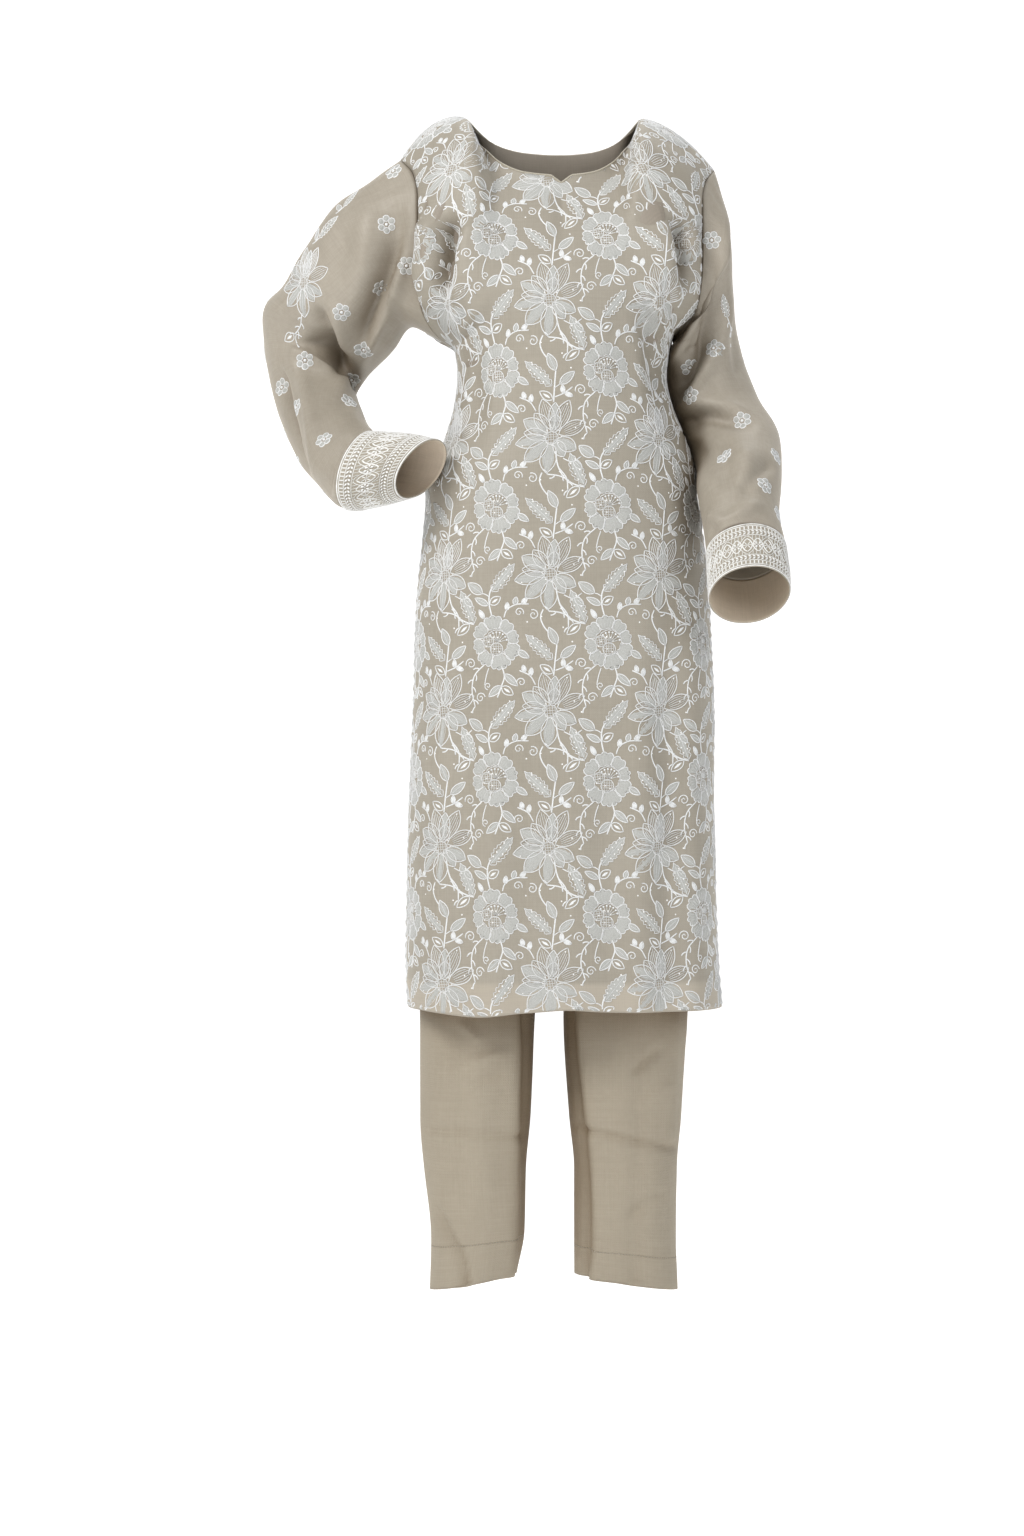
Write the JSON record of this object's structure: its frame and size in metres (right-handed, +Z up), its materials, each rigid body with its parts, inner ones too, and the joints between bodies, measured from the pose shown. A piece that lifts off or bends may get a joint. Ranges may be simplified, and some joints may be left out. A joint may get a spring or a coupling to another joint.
{
  "type": "salwar kameez suit",
  "caption": "Straight knee-length kameez with lace-cuffed sleeves over its lining, and straight trousers, worn and hollow, one arm bent to the hip.",
  "frame": {"origin": "on the middle line between the two neck ends of the shoulder seams, where the wearer's shoulders carry the kameez", "axes": "+Z up along the garment's length, -Y the way the wearer faces, +X the wearer's left"},
  "size_m": [0.6009, 0.3467, 1.331],
  "materials": {
    "embroidered_organza": "sheer, matte, with white raised embroidery",
    "lining": "matte",
    "lace": "matte openwork",
    "plain_cloth": "matte slub weave"
  },
  "bodies": {
    "root": {"kameez_front": "embroidered_organza", "kameez_back": "embroidered_organza", "kameez_lining_front": "lining", "kameez_lining_back": "lining", "sleeve_right": "embroidered_organza", "sleeve_left": "embroidered_organza", "cuff_right": "lace", "cuff_left": "lace", "trouser_right_front": "plain_cloth", "trouser_right_back": "plain_cloth", "trouser_left_front": "plain_cloth", "trouser_left_back": "plain_cloth", "trouser_waistband": "plain_cloth"}
  },
  "joints": []
}
